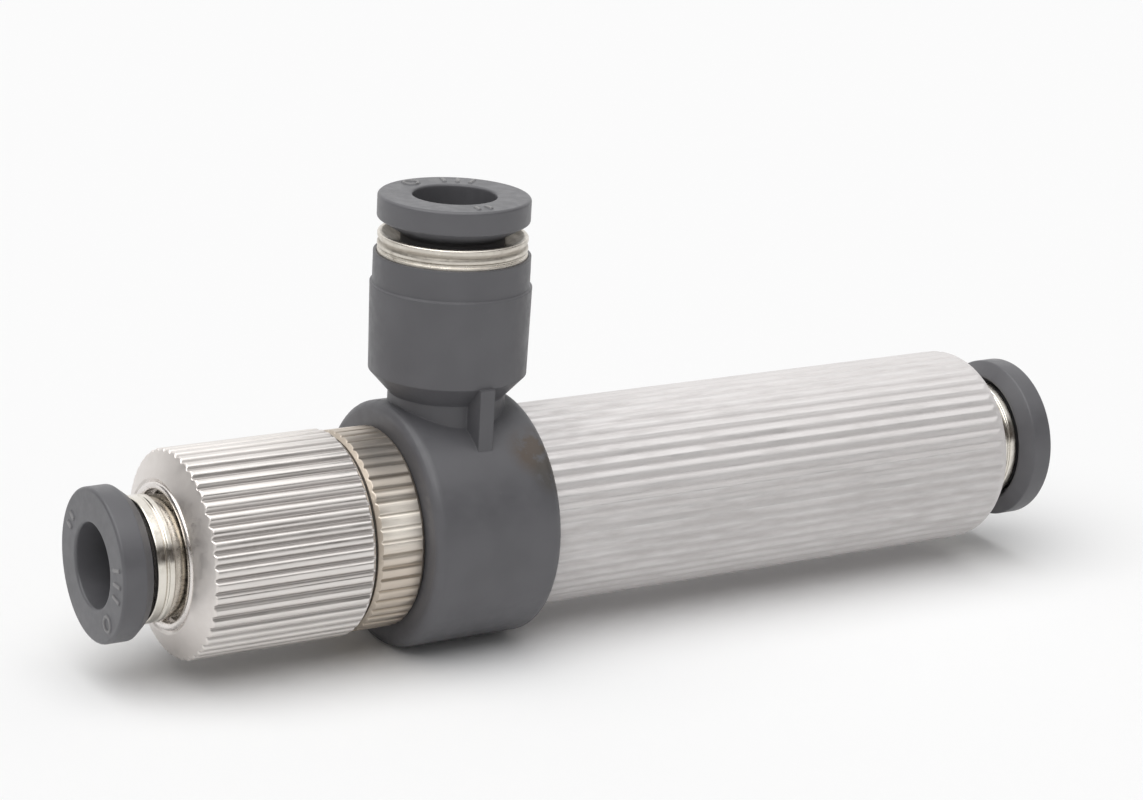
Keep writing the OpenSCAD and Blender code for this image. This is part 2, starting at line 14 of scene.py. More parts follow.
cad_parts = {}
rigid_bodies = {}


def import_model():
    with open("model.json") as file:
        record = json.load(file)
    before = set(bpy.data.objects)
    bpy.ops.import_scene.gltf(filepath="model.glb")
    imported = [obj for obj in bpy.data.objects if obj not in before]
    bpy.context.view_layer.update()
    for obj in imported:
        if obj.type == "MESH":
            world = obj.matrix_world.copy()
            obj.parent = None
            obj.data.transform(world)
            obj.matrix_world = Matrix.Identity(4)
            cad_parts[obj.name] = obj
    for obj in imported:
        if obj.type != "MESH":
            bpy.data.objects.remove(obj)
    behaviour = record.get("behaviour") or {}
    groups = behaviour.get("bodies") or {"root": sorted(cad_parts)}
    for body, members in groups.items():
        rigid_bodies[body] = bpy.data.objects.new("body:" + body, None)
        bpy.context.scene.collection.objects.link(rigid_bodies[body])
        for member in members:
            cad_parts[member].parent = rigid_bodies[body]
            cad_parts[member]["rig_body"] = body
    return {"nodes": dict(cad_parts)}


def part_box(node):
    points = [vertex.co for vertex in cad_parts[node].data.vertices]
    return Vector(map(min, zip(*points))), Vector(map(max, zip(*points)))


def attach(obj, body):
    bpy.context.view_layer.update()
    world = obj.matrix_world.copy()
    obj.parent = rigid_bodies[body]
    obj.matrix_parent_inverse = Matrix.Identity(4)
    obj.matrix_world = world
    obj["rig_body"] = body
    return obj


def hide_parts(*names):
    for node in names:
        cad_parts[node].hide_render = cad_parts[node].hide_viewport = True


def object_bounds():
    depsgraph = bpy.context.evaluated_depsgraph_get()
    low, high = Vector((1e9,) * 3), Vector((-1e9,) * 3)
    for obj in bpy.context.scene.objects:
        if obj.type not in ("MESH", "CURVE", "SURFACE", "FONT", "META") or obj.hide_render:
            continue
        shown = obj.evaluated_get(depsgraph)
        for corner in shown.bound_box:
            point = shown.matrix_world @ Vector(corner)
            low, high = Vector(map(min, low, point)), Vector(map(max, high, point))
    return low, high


MM = 0.001
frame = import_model()
cad_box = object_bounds()
scene = bpy.context.scene

FLOOR_Z = cad_box[0].z
WORKED = "worked"
VACUUM_X = sum(corner.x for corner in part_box("vacuum_release_ring")) / 2


# ---- Turned pieces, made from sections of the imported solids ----

class Axis:
    """A turning axis: along it, and two directions square to it that angles are measured from."""

    def __init__(self, origin, along, side):
        self.origin = np.array(origin, float)
        self.along = np.array(along, float)
        self.side = np.array(side, float)
        self.other = np.cross(self.along, self.side)

    def points(self, along, radius, angle):
        """Points at a distance along the axis, a radius and an angle, which may be arrays."""
        out = np.cos(angle)[..., None] * self.side + np.sin(angle)[..., None] * self.other
        return self.origin + along[..., None] * self.along + radius[..., None] * out


MAIN = Axis((0, 0, 0), (1, 0, 0), (0, 0, 1))
UPRIGHT = Axis((VACUUM_X, 0, 0), (0, 0, 1), (1, 0, 0))
SECTION_TILT = math.radians(0.37)  # keeps a section's plane off the mesh's own corners
SAME_POINT = 1e-8
FLAT_ENOUGH = 0.003 * MM


def section(node, axis, angle=SECTION_TILT):
    """The closed outline [(along, radius)] in which a half-plane from the axis cuts a CAD node."""
    mesh = frame["nodes"][node].data
    mesh.calc_loop_triangles()
    corners = np.array([v.co for v in mesh.vertices], float) - axis.origin
    out = math.cos(angle) * axis.side + math.sin(angle) * axis.other
    height = corners @ np.cross(axis.along, out)
    flat = np.stack([corners @ axis.along, corners @ out], 1)
    links = {}
    for triangle in mesh.loop_triangles:
        cut = []
        for a, b in ((0, 1), (1, 2), (2, 0)):
            low, high = sorted((triangle.vertices[a], triangle.vertices[b]), key=lambda i: height[i])
            if height[low] < 0 <= height[high]:
                share = height[low] / (height[low] - height[high])
                cut.append(flat[low] + share * (flat[high] - flat[low]))
        if len(cut) == 2 and cut[0][1] > 0 and cut[1][1] > 0:
            a, b = (tuple(np.round(p / SAME_POINT).astype(int)) for p in cut)
            links.setdefault(a, []).append(b)
            links.setdefault(b, []).append(a)
    outline = simplified(longest_loop(links))
    x, r = outline.T
    clockwise = (x * np.roll(r, -1) - np.roll(x, -1) * r).sum() < 0
    return outline[::-1] if clockwise else outline


def longest_loop(links):
    """Follows links between points and gives the loop that has the longest way round."""
    loops, left = [], set(links)
    while left:
        loop = [left.pop()]
        while True:
            ahead = [p for p in links[loop[-1]] if p in left]
            if not ahead:
                break
            left.discard(ahead[0])
            loop.append(ahead[0])
        loops.append(np.array(loop, float) * SAME_POINT)
    return max(loops, key=lambda p: np.linalg.norm(p - np.roll(p, 1, 0), axis=1).sum())


def simplified(loop):
    """Drops the points of a closed outline that lie on the line between their neighbours."""
    points = list(loop)
    changed = True
    while changed:
        changed = False
        for i in range(len(points)):
            before, here, after = points[i - 1], points[i], points[(i + 1) % len(points)]
            line = after - before
            length = np.linalg.norm(line)
            off = abs(line[0] * (here - before)[1] - line[1] * (here - before)[0])
            if length == 0 or off / length < FLAT_ENOUGH:
                points.pop(i)
                changed = True
                break
    return np.array(points)


MOST_OF_SIDE = 0.45  # share of a side that one rounded corner may take
CORNER_STEPS = 4
LEFT_PLAIN = math.radians(25)  # a corner that turns by less is not rounded


def rounded(outline, radius, inner=0):
    """Rounds the corners of a closed outline that lie outside the inner radius."""
    made = []
    count = len(outline)
    for i in range(count):
        here = outline[i]
        back, ahead = outline[i - 1] - here, outline[(i + 1) % count] - here
        back_len, ahead_len = np.linalg.norm(back), np.linalg.norm(ahead)
        bend = math.pi - math.acos(max(-1, min(1, back @ ahead / (back_len * ahead_len))))
        if bend < LEFT_PLAIN or here[1] < inner:
            made.append(here)
            continue
        reach = min(radius * math.tan(bend / 2), MOST_OF_SIDE * back_len, MOST_OF_SIDE * ahead_len)
        start, end = here + back * reach / back_len, here + ahead * reach / ahead_len
        for t in np.linspace(0, 1, CORNER_STEPS + 1):
            made.append((1 - t) ** 2 * start + 2 * t * (1 - t) * here + t ** 2 * end)
    return np.array(made)


def divided(outline, longest, where):
    """Divides the sides that where(here, after) picks into parts that are no longer than longest."""
    made = []
    for here, after in zip(outline, np.roll(outline, -1, 0)):
        parts = math.ceil(np.linalg.norm(after - here) / longest) if where(here, after) else 1
        made += [here + (after - here) * i / parts for i in range(parts)]
    return np.array(made)


def at_place(index, place):
    """A where for divided(): sides at a place along the axis (index 0) or at a radius (index 1)."""
    return lambda here, after: max(abs(here[index] - place), abs(after[index] - place)) < FLAT_ENOUGH


def piece_from(name, verts, faces):
    """A smooth mesh piece. Its faces look outwards, and big flat faces keep their own normals."""
    mesh = bpy.data.meshes.new(name)
    mesh.from_pydata(verts, [], faces)
    sketch = bmesh.new()
    sketch.from_mesh(mesh)
    bmesh.ops.recalc_face_normals(sketch, faces=sketch.faces)
    sketch.to_mesh(mesh)
    sketch.free()
    piece = bpy.data.objects.new(name, mesh)
    scene.collection.objects.link(piece)
    finish_normals(piece)
    return piece


SHARP = math.radians(40)


def finish_normals(piece):
    piece.data.shade_smooth()
    piece.data.set_sharp_from_angle(angle=SHARP)
    weighted = piece.modifiers.new("flat faces stay flat", "WEIGHTED_NORMAL")
    weighted.keep_sharp = True


def turn(name, axis, outline, segments, shape):
    """Turns a closed outline about an axis.

    shape(along, radius, angle) gives each point a new place along, a new radius and, from 0 to 1, how
    much it is worked. The finishes read that from the attribute WORKED.
    """
    angle = np.arange(segments) * 2 * math.pi / segments
    along, angle = np.meshgrid(outline[:, 0], angle, indexing="ij")
    radius = np.repeat(outline[:, 1:], segments, 1)
    along, radius, worked = shape(along, radius, angle)
    verts = axis.points(along, radius, angle).reshape(-1, 3)
    at = np.arange(verts.shape[0]).reshape(radius.shape)
    down, right = np.roll(at, -1, 0), np.roll(at, -1, 1)
    faces = np.stack([at, down, np.roll(down, -1, 1), right], -1).reshape(-1, 4)
    piece = piece_from(name, verts.tolist(), faces.tolist())
    piece.data.attributes.new(WORKED, "FLOAT", "POINT").data.foreach_set("value", worked.ravel())
    return piece


# ---- Shapes of the turned pieces: ribs, the nose's bead, raised marks and hollow bands ----

RIB_COUNT = 48
POINTS_PER_RIB = 14
VALLEY = 0.48  # share of the pitch from a crest's middle to where its flank ends
EDGE_BLEND = 0.03 * MM  # softness of the corner where a rib runs out
SKIN = 0.35 * MM  # depth below the crest in which a rib can end
FINE_SIDE = 20  # a side longer than this many steps is left whole, because no rib ends on it


def soft_min(a, b, blend):
    """The smaller of two radii, with the corner between them rounded."""
    share = np.clip(0.5 + 0.5 * (b - a) / blend, 0, 1)
    return b + (a - b) * share - blend * share * (1 - share)


def smooth(share):
    share = np.clip(share, 0, 1)
    return share * share * (3 - 2 * share)


def ribs(crest, depth, flat, crowned, straight, uneven, seed):
    """A rule for turn(): straight ribs along the axis.

    flat is half of a crest's width, as a share of the pitch. crowned is a crest's own fall to its
    edges, as a share of the depth. straight is 0 for flanks that run out softly, 1 for plain ones. The
    widths differ by up to the share uneven both ways, and a rib is lower by up to half of it.
    """
    random = np.random.default_rng(seed)
    width = flat * (1 + uneven * random.uniform(-1, 1, RIB_COUNT))
    drop = uneven * random.uniform(0, 0.5, RIB_COUNT)

    def shape(along, radius, angle):
        turns = angle * RIB_COUNT / (2 * math.pi)
        rib = np.round(turns).astype(int) % RIB_COUNT
        off = np.abs(turns - np.round(turns))
        edge = width[rib]
        fall = np.clip((off - edge) / (VALLEY - edge), 0, 1)
        fall = straight * fall + (1 - straight) * smooth(fall)
        lowered = drop[rib] + crowned * np.minimum(off / edge, 1) ** 2
        bar = crest - depth * (lowered + (1 - lowered) * fall)
        cut = soft_min(radius, bar, EDGE_BLEND)
        return along, cut, np.clip((radius - cut) / depth, 0, 1)

    return shape


def split_at(outline, radius):
    """Adds a point wherever a closed outline crosses a radius."""
    made = []
    for here, after in zip(outline, np.roll(outline, -1, 0)):
        made.append(here)
        if (here[1] - radius) * (after[1] - radius) < 0:
            made.append(here + (after - here) * (radius - here[1]) / (after[1] - here[1]))
    return np.array(made)


def ribbed_piece(name, outline, edge_radius, inner, step, **rib_settings):
    """Turns an outline with ribs, and with rounded edges outside the inner radius.

    Its skin is divided into steps where a rib can end.
    """
    crest = outline[:, 1].max()
    skin = crest - SKIN

    def ends_rib(here, after):
        short = np.linalg.norm(after - here) < FINE_SIDE * step
        return short and min(here[1], after[1]) >= skin - FLAT_ENOUGH

    fine = divided(split_at(rounded(outline, edge_radius, inner), skin), step, ends_rib)
    return turn(name, MAIN, fine, RIB_COUNT * POINTS_PER_RIB, ribs(crest, **rib_settings))


BEAD_ARC = np.radians(np.linspace(80, -100, 16))  # from the bead's outer side over its tip


def beaded_nose(outline, bead, overhang, groove):
    """Gives the nose's lip a round bead, rolled inwards by an overhang and set off by a fine groove."""
    tip = outline[:, 0] < outline[:, 0].min() + FLAT_ENOUGH
    start = int(np.flatnonzero(tip)[0])
    around = np.roll(outline, -start, 0)[tip.sum():]
    outer, inner = (outline[tip][np.argsort(outline[tip, 1])[i]] for i in (-1, 0))
    cone = (around[0] if around[0][1] > outer[1] else around[-1]) - outer
    centre = inner + [bead, bead - overhang]
    curl = centre + bead * np.stack([-np.cos(BEAD_ARC), np.sin(BEAD_ARC)], 1)
    edge = outer + cone * groove / np.linalg.norm(cone)
    if around[0][1] > outer[1]:
        return np.concatenate([curl[::-1], [edge], around])
    return np.concatenate([[edge], curl, around])


MARK_HEIGHT = 0.11 * MM
MARK_EDGE = 0.08 * MM
MARK_RADIUS = 4.45 * MM  # from the ring's axis to the middle of its marks
CIRCLE_RADIUS = 0.55 * MM
CIRCLE_HALF_WIDTH = 0.11 * MM
BAR_HALF_WIDTH = 0.14 * MM
BARS = (  # degrees from the circle, half of the length in millimetres
    (-64, 0.55), (-50, 0.55), (-36, 0.55), (154, 0.4), (166, 0.4),
)


def raised_marks(face, out, turned):
    """A rule for turn(): plain moulding marks on a ring's face, a circle and two groups of bars.

    face is where the face lies along the axis, out is +1 or -1 away from the ring, and turned is the
    angle of the circle.
    """
    def shape(along, radius, angle):
        away = (angle - turned + math.pi) % (2 * math.pi) - math.pi
        up = radius - MARK_RADIUS
        gaps = [np.abs(np.hypot(up, away * radius) - CIRCLE_RADIUS) - CIRCLE_HALF_WIDTH]
        for place, half in BARS:
            across = np.abs(away - math.radians(place)) * radius - BAR_HALF_WIDTH
            gaps.append(np.maximum(across, np.abs(up) - half * MM))
        raised = smooth(0.5 - np.min(gaps, 0) / MARK_EDGE)
        raised = np.where(np.abs(along - face) < FLAT_ENOUGH, raised, 0)
        return along + out * MARK_HEIGHT * raised, radius, raised

    return shape


MOUTH_LEN = 1.2 * MM
BAND_RIM = 0.2  # share of a collar's band that stays full at each side
INSIDE_FROM = 0.25 * MM  # depth below the bands at which a collar counts as inside
INSIDE_FADE = 0.15 * MM
INSIDE_TO = 3 * MM  # depth from which it is hidden and left plain
HOLLOW_SHADE = 0.8  # how much the hollow band and the inside are worked: painted shade, more roughness and no turning lines


def crest_at_mouth(outline, out):
    """The radius of the bands at a collar's mouth. out is +1 or -1, the way to the mouth."""
    from_mouth = (out * outline[:, 0]).max() - out * outline[:, 0]
    return outline[from_mouth < MOUTH_LEN, 1].max()


def hollowed(outline, out, crest, depth):
    """A rule for turn(): a collar's outer band is hollow by a depth. It is rougher there and inside,
    and darker with painted shade.
    """
    band = np.sort(out * outline[np.abs(outline[:, 1] - crest) < FLAT_ENOUGH, 0])[::-1]

    def shape(along, radius, angle):
        share = (band[0] - out * along) / (band[0] - band[1])
        share = np.clip((share - BAND_RIM) / (1 - 2 * BAND_RIM), 0, 1)
        dip = np.sin(math.pi * share) ** 2 * (np.abs(radius - crest) < FLAT_ENOUGH) * (depth > 0)
        inside = smooth((crest - INSIDE_FROM - radius) / INSIDE_FADE) * (radius > crest - INSIDE_TO)
        return along, radius - depth * dip, HOLLOW_SHADE * np.maximum(dip, inside)

    return shape


# ---- Material nodes ----

END_LEAN = (0.15, 0.35)  # part of a normal along X where a face starts to be an end, and is one


class Finish:
    """A node-based material. Its methods add nodes and return their output sockets."""

    def __init__(self, name, **uniform):
        self.material = bpy.data.materials.new(name)
        self.material.use_nodes = True
        self.tree = self.material.node_tree
        self.shader = self.tree.nodes["Principled BSDF"]
        for socket, value in uniform.items():
            self.shader.inputs[socket.replace("_", " ")].default_value = value
        coords = self.add("ShaderNodeTexCoord").outputs["Object"]
        in_mm = self.add("ShaderNodeVectorMath", {0: coords, "Scale": 1 / MM}, operation="SCALE")
        self.mm = in_mm.outputs["Vector"]

    def add(self, kind, inputs=None, **settings):
        node = self.tree.nodes.new(kind)
        for key, value in settings.items():
            setattr(node, key, value)
        for key, value in (inputs or {}).items():
            if isinstance(value, bpy.types.NodeSocket):
                self.tree.links.new(value, node.inputs[key])
            else:
                node.inputs[key].default_value = value
        return node

    def link(self, socket, name):
        self.tree.links.new(socket, self.shader.inputs[name])

    def worked(self):
        """How far a turning rule has worked the surface, from 0 to 1."""
        return self.add("ShaderNodeAttribute", attribute_name=WORKED).outputs["Fac"]

    def facing_along(self):
        """1 where the surface faces along the main axis, 0 where it faces square to it."""
        coords = self.add("ShaderNodeTexCoord").outputs["Normal"]
        along = self.calc("ABSOLUTE", self.add("ShaderNodeSeparateXYZ", {0: coords}).outputs["X"])
        return self.span(along, *END_LEAN)

    def within(self, radius, fade=0.05):
        """1 nearer to the main axis than a radius in millimetres, 0 outside it."""
        across = self.add("ShaderNodeVectorMath", {0: self.mm, 1: (0, 1, 1)}, operation="MULTIPLY")
        out = self.add("ShaderNodeVectorMath", {0: across.outputs["Vector"]}, operation="LENGTH")
        return self.span(out.outputs["Value"], radius - fade, radius + fade, to_low=1, to_high=0)

    def soft_edges(self, radius):
        """A normal that rounds the edges by a radius in millimetres."""
        return self.add("ShaderNodeBevel", {"Radius": radius * MM}, samples=6).outputs["Normal"]

    def noise(self, per_mm, detail=3.0, rough=0.5, stretch=(1, 1, 1)):
        """Noise of a given count of features per millimetre, stretched along the object's axes."""
        place = self.add("ShaderNodeVectorMath", {0: self.mm, 1: [1 / s for s in stretch]},
                         operation="MULTIPLY")
        inputs = {"Vector": place.outputs["Vector"], "Scale": per_mm, "Detail": detail,
                  "Roughness": rough}
        return self.add("ShaderNodeTexNoise", inputs).outputs["Fac"]

    def spots(self, per_mm):
        """Distance to the nearest of many scattered points."""
        inputs = {"Vector": self.mm, "Scale": per_mm}
        return self.add("ShaderNodeTexVoronoi", inputs).outputs["Distance"]

    def span(self, value, low, high, to_low=0.0, to_high=1.0):
        """Maps low..high smoothly to to_low..to_high, and holds the ends."""
        inputs = {"Value": value, "From Min": low, "From Max": high,
                  "To Min": to_low, "To Max": to_high}
        return self.add("ShaderNodeMapRange", inputs, interpolation_type="SMOOTHSTEP").outputs["Result"]

    def varied(self, noise, value, least, most):
        """A value that a noise varies between two shares of it."""
        return self.span(noise, 0.3, 0.7, least * value, most * value)

    def calc(self, operation, a, b=0.0):
        return self.add("ShaderNodeMath", {0: a, 1: b}, operation=operation).outputs[0]

    def blend(self, share, a, b):
        """Colour a where share is 0, colour b where it is 1."""
        node = self.add("ShaderNodeMix", {"Factor": share}, data_type="RGBA")
        for socket, colour in ((node.inputs["A"], a), (node.inputs["B"], b)):
            if isinstance(colour, bpy.types.NodeSocket):
                self.tree.links.new(colour, socket)
            else:
                socket.default_value = (*colour, 1)
        return node.outputs["Result"]

    def bump(self, height, depth, strength=1.0, under=None):
        """Bump of a given depth in millimetres, laid over an earlier one."""
        inputs = {"Height": height, "Distance": depth * MM, "Strength": strength}
        if under is not None:
            inputs["Normal"] = under
        return self.add("ShaderNodeBump", inputs).outputs["Normal"]

    def near(self, point, reach):
        """1 at a point given in millimetres, falling to 0 at a reach."""
        gap = self.add("ShaderNodeVectorMath", {0: self.mm, 1: point}, operation="DISTANCE")
        return self.span(gap.outputs["Value"], 0, reach, to_low=1, to_high=0)


def scaled(colour, share):
    return [part * share for part in colour]


ROUND_X = (1, 30, 30)  # stretch of the turning lines round X
ROUND_Z = (30, 30, 1)
TURNED_DEPTH_MM = 0.003
DENT_DEPTH_MM = 0.012
METAL_GRAIN_MM = 0.002
STREAK_TONE = 0.7  # share of the colour that is left in a streak
END_ROUGHER = 0.08  # how much rougher the end faces are
BORE_SMOOTHER = 0.5  # share of the roughness that the bore loses
PATCH_ROUGHER = 0.22
PATCH_GROOVE = 0.6  # a groove's tone inside a patch, as a share of the patch's colour: painted shade in its grooves


def ribbed_metal(name, colour, groove, end_colour, bore, rough, groove_rough, streaks, drawn, mottle,
                 patches=()):
    """Ribbed metal: grooves rougher and darker with depth, the darkening being painted shade with some
    dirt; fine streaks along the ribs, turned end faces, a cloudy gloss.

    Inside the radius bore, in millimetres, it is polished. streaks and mottle are shares by which the
    tone darkens, drawn is the streaks' depth in millimetres. patches are places of painted light, a
    painted highlight or painted shade, each a point and a reach in millimetres and a colour.
    """
    made = Finish(name, Metallic=1.0)
    worked = made.span(made.worked(), 0.15, 0.9)
    polished = made.within(bore)
    end = made.calc("MAXIMUM", made.facing_along(), polished)
    side = made.calc("SUBTRACT", 1, end)
    lines = made.calc("MULTIPLY", made.noise(7, detail=4, rough=0.6, stretch=(14, 1, 1)), side)
    clouds = made.noise(0.45, rough=0.55, stretch=(2.5, 1, 1))
    tone = made.blend(made.span(clouds, 0.3, 0.7), colour, scaled(colour, 1 - mottle))
    spread = 0.0
    # painted light: each patch lays a painted highlight or painted shade on the tone, and painted shade
    # in its grooves
    for point, reach, painted_light_tone in patches:
        patch = made.near(point, reach)
        tone = made.blend(patch, tone, painted_light_tone)
        groove = made.blend(patch, groove, scaled(painted_light_tone, PATCH_GROOVE))
        spread = made.calc("MAXIMUM", spread, made.calc("MULTIPLY", patch, PATCH_ROUGHER))
    tone = made.blend(made.span(lines, 0.5, 0.8, to_high=streaks), tone, scaled(colour, STREAK_TONE))
    # painted shade: the grooves take the groove colour with their depth
    tone = made.blend(worked, tone, groove)
    made.link(made.blend(end, tone, end_colour), "Base Color")
    gloss = made.noise(1.4, detail=4, rough=0.6, stretch=(5, 1, 1))
    on_top = made.varied(gloss, rough, 0.82, 1.2)
    rise = made.calc("MULTIPLY", worked, groove_rough - rough)
    rise = made.calc("ADD", rise, made.calc("MULTIPLY", end, END_ROUGHER))
    rise = made.calc("SUBTRACT", rise, made.calc("MULTIPLY", polished, BORE_SMOOTHER * rough))
    rise = made.calc("ADD", rise, spread)
    made.link(made.calc("ADD", on_top, rise), "Roughness")
    along = made.bump(lines, drawn, strength=0.5)
    turning = made.calc("MULTIPLY", made.noise(9, detail=2, stretch=ROUND_X), end)
    turned = made.bump(turning, TURNED_DEPTH_MM, strength=0.5, under=along)
    grain = made.bump(made.noise(13, rough=0.6), METAL_GRAIN_MM, strength=0.5, under=turned)
    made.link(grain, "Normal")
    return made


TARNISH_SHARE = 0.4
WORKED_ROUGHER = 0.12


def turned_metal(name, colour, tarnish_and_shade, rough, lines):
    """Plated metal with small tarnished patches, painted shade where it is worked, and fine turning
    lines stretched along the axes by lines.
    """
    made = Finish(name, Metallic=1.0)
    worked = made.worked()
    patches = made.span(made.noise(0.7, detail=4, rough=0.6), 0.45, 0.75, to_high=TARNISH_SHARE)
    # random patches are tarnished; the worked hollows take the same colour as painted shade
    made.link(made.blend(made.calc("MAXIMUM", patches, worked), colour, tarnish_and_shade), "Base Color")
    shine = made.varied(made.noise(2.2, detail=4, rough=0.6), rough, 0.75, 1.4)
    made.link(made.calc("ADD", shine, made.calc("MULTIPLY", worked, WORKED_ROUGHER)), "Roughness")
    plain = made.calc("SUBTRACT", 1, worked)
    uneven = made.calc("MULTIPLY", made.noise(1.2, detail=2), plain)
    dents = made.bump(uneven, DENT_DEPTH_MM, strength=0.3)
    turning = made.calc("MULTIPLY", made.noise(8, detail=2, stretch=lines), plain)
    made.link(made.bump(turning, TURNED_DEPTH_MM, strength=0.5, under=dents), "Normal")
    return made


FLOW_TONE = 1.12
MARK_LIGHTENING = 0.4  # share of the dust colour that a raised mark takes, which makes the marks lighter
SPECK_DUST = 0.3
WAVE_DEPTH_MM = 0.02
PLASTIC_GRAIN_MM = 0.006
STAIN_GAIN = 1.7  # makes a stain's middle solid before its share caps it


def moulded_plastic(name, colour, dust, rough, edges=0, stains=()):
    """Satin moulded plastic with a fine grain, flow marks, dust specks and stains.

    edges is the radius of its soft edges in millimetres, or 0 where the mesh is round already.
    """
    made = Finish(name)
    flow = made.span(made.noise(0.3, rough=0.55), 0.35, 0.7)
    tone = made.blend(flow, colour, scaled(colour, FLOW_TONE))
    tone = made.blend(made.span(made.worked(), 0.1, 1, to_high=MARK_LIGHTENING), tone, dust)
    patchy = made.span(made.noise(0.9, detail=2), 0.52, 0.62)
    specks = made.span(made.spots(1.3), 0.02, 0.05, to_low=SPECK_DUST, to_high=0)
    tone = made.blend(made.calc("MULTIPLY", specks, patchy), tone, dust)
    for point, reach, stain, most in stains:
        blotches = made.span(made.noise(0.9, detail=5, rough=0.65), 0.3, 0.62)
        cover = made.calc("MULTIPLY", made.near(point, reach), blotches)
        cover = made.calc("MINIMUM", made.calc("MULTIPLY", cover, STAIN_GAIN), most)
        tone = made.blend(cover, tone, stain)
    made.link(tone, "Base Color")
    made.link(made.varied(made.noise(1.2, detail=4, rough=0.6), rough, 0.88, 1.15), "Roughness")
    edge = made.soft_edges(edges) if edges else None
    waves = made.bump(made.noise(0.7, detail=2), WAVE_DEPTH_MM, strength=0.3, under=edge)
    grain = made.bump(made.noise(10, detail=2), PLASTIC_GRAIN_MM, strength=0.7, under=waves)
    made.link(grain, "Normal")
    return made


INNER_TONE = 0.85
INNER_GRAIN_MM = 0.004


def inner_finish(name, colour, rough, metallic=0.0):
    """A finish for pieces inside: two close tones, an uneven gloss and a fine grain."""
    made = Finish(name, Metallic=metallic)
    clouds = made.span(made.noise(1.2, detail=4), 0.35, 0.65)
    made.link(made.blend(clouds, colour, scaled(colour, INNER_TONE)), "Base Color")
    made.link(made.varied(made.noise(2.5), rough, 0.85, 1.15), "Roughness")
    made.link(made.bump(made.noise(10, detail=2), INNER_GRAIN_MM, strength=0.6), "Normal")
    return made


# ---- Finishes ----

STAINS = (  # place in millimetres on the tee's ring, reach, colour, share
    ((32.2, -6.5, 6.8), 2.6, (0.080, 0.058, 0.042), 0.85),
    ((33.3, -7.6, 5.4), 2.4, (0.060, 0.054, 0.047), 0.7),
)
KNURL_PAINTED_LIGHT = (  # place in millimetres on the knurl, reach, colour: a painted highlight on the side towards the camera, and painted shade over the top
    ((21, -6.9, 2.6), 3.6, (1.0, 0.95, 0.87)),
    ((21, -3.1, 6.8), 6.0, (0.25, 0.232, 0.212)),
)
DUST = (0.34, 0.33, 0.32)

FINISHES = {
    "front": ribbed_metal("aluminium_front", (0.75, 0.718, 0.69), groove=(0.42, 0.395, 0.38),
                          end_colour=(0.76, 0.72, 0.69), bore=5.5, rough=0.35, groove_rough=0.47,
                          streaks=0.3, drawn=0.010, mottle=0.05),
    "rear": ribbed_metal("aluminium_rear", (0.67, 0.652, 0.646), groove=(0.63, 0.61, 0.604),
                         end_colour=(0.68, 0.66, 0.654), bore=6.5, rough=0.66, groove_rough=0.68,
                         streaks=0.3, drawn=0.006, mottle=0.05),
    "knurl": ribbed_metal("nickel_knurled", (0.64, 0.565, 0.485), groove=(0.40, 0.34, 0.275),
                          end_colour=(0.52, 0.46, 0.39), bore=5.0, rough=0.34, groove_rough=0.45,
                          streaks=0.35, drawn=0.010, mottle=0.10, patches=KNURL_PAINTED_LIGHT),
    "collar": turned_metal("nickel_polished", (0.745, 0.71, 0.645), (0.42, 0.375, 0.31), 0.18, ROUND_X),
    # the upright collar's copy of the plated nickel: darker as painted shade, rougher, with turning
    # lines round Z
    "dull_collar": turned_metal("nickel_upright_shaded", (0.66, 0.62, 0.555), (0.30, 0.265, 0.22), 0.34, ROUND_Z),
    "tee": moulded_plastic("plastic_tee", (0.094, 0.093, 0.100), DUST, 0.45, edges=0.14, stains=STAINS),
    "ring": moulded_plastic("plastic_ring", (0.100, 0.099, 0.106), DUST, 0.40),
    "gasket": inner_finish("rubber_gasket", (0.045, 0.042, 0.04), 0.6),
    "seal": inner_finish("rubber_seal", (0.03, 0.03, 0.03), 0.45),
    "claw": inner_finish("steel_claw", (0.62, 0.62, 0.63), 0.25, metallic=1.0),
    "backing": inner_finish("plastic_backing", (0.60, 0.60, 0.57), 0.45),
    "jet": inner_finish("brass_jet", (0.72, 0.53, 0.26), 0.25, metallic=1.0),
}

FINISH_OF = {
    "front_housing": "front", "rear_housing": "rear", "nozzle_core": "knurl", "tee_body": "tee",
    "front_gasket": "gasket", "nozzle": "jet", "diffuser": "jet",
}
for seal in ("nozzle_seal", "diffuser_seal", "tee_seal_front", "tee_seal_rear", "rear_seal"):
    FINISH_OF[seal] = "seal"
for port in ("supply", "vacuum", "exhaust"):
    for piece, finish in (("release_ring", "ring"), ("collar", "collar"), ("claw", "claw"),
                          ("backing_ring", "backing"), ("tube_seal", "seal")):
        FINISH_OF[port + "_" + piece] = finish
FINISH_OF["vacuum_collar"] = "dull_collar"

for name, node in frame["nodes"].items():
    node.material_slots[0].material = FINISHES[FINISH_OF[name]].material


# ---- Pieces ----


def stand_for(piece, node):
    """The piece rides with a CAD node's body, takes its place and gets its finish."""
    finish = FINISH_OF[node]
    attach(piece, frame["nodes"][node]["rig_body"])
    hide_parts(node)
    piece.data.materials.clear()
    piece.data.materials.append(FINISHES[finish].material)


BETWEEN_HOLES = math.radians(45) + SECTION_TILT  # a section here misses the core's suction holes
RIBBED_EDGE = 0.07 * MM
RING_EDGE = 0.22 * MM
COLLAR_EDGE = 0.13 * MM
LIP_BEAD = 0.32 * MM
LIP_OVERHANG = 0.28 * MM
LIP_GROOVE = 0.3 * MM
ROUND = 288  # points round a piece
MARKED_ROUND = 480
FACE_STEP = 0.09 * MM
BAND_STEP = 0.08 * MM

